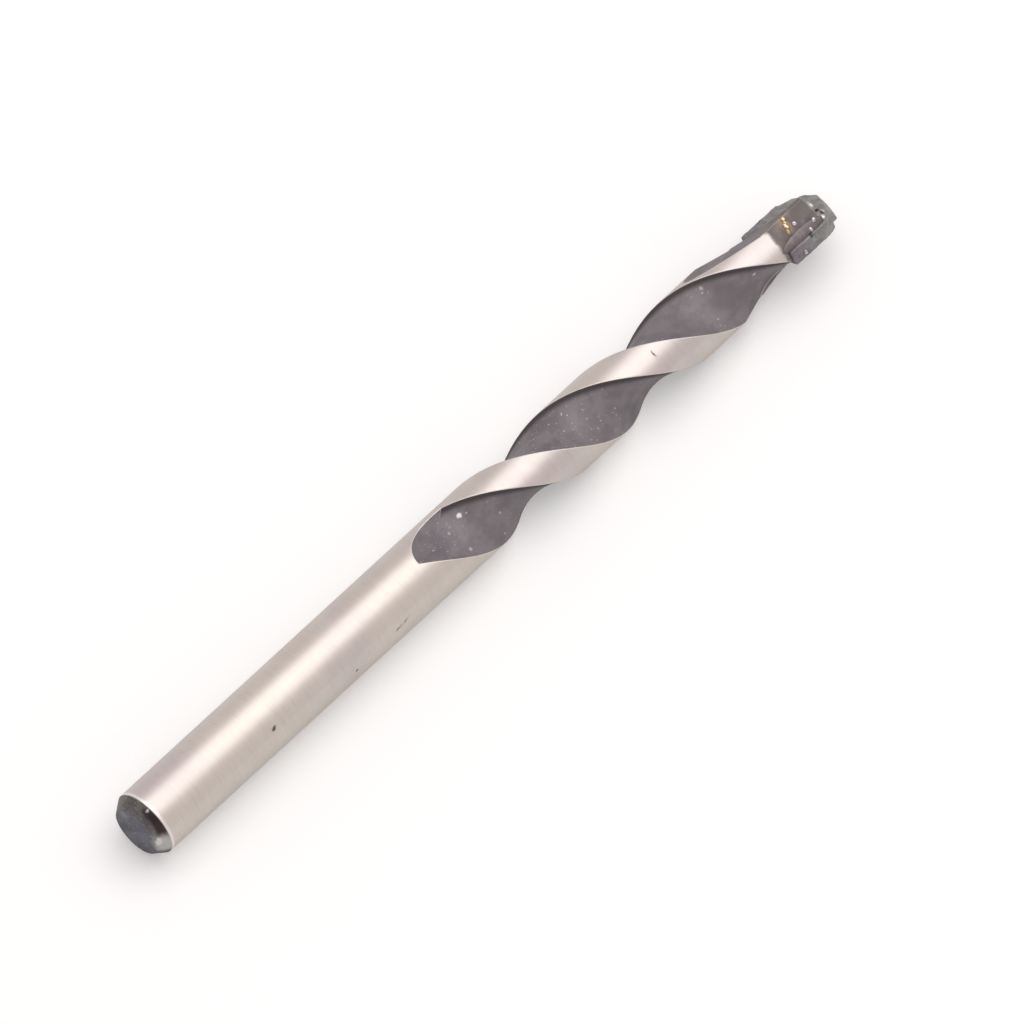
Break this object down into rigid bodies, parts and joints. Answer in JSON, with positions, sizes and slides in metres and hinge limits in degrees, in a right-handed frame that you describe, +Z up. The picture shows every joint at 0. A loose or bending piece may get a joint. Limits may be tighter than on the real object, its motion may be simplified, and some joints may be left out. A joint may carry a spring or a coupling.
{
  "type": "masonry drill bit",
  "caption": "Used masonry drill bit: plain ground shank, right-hand spiral flutes and a carbide plate brazed across a roof-shaped point.",
  "frame": {"origin": "centre of the flat shank end, on the bit's axis", "axes": "+X along the bit to the carbide point, +Z up as the bit lies on its side"},
  "size_m": [0.12, 0.0092, 0.0088],
  "materials": {
    "steel": "ground shank and lands, dark satin flutes, heat-darkened head",
    "carbide": "sintered tungsten carbide, satin grey, worn edges",
    "braze": "brazing alloy, dull gold with heat stain"
  },
  "bodies": {
    "root": {"drill_body": "steel", "carbide_tip": "carbide", "braze_joint": "braze"}
  },
  "joints": []
}
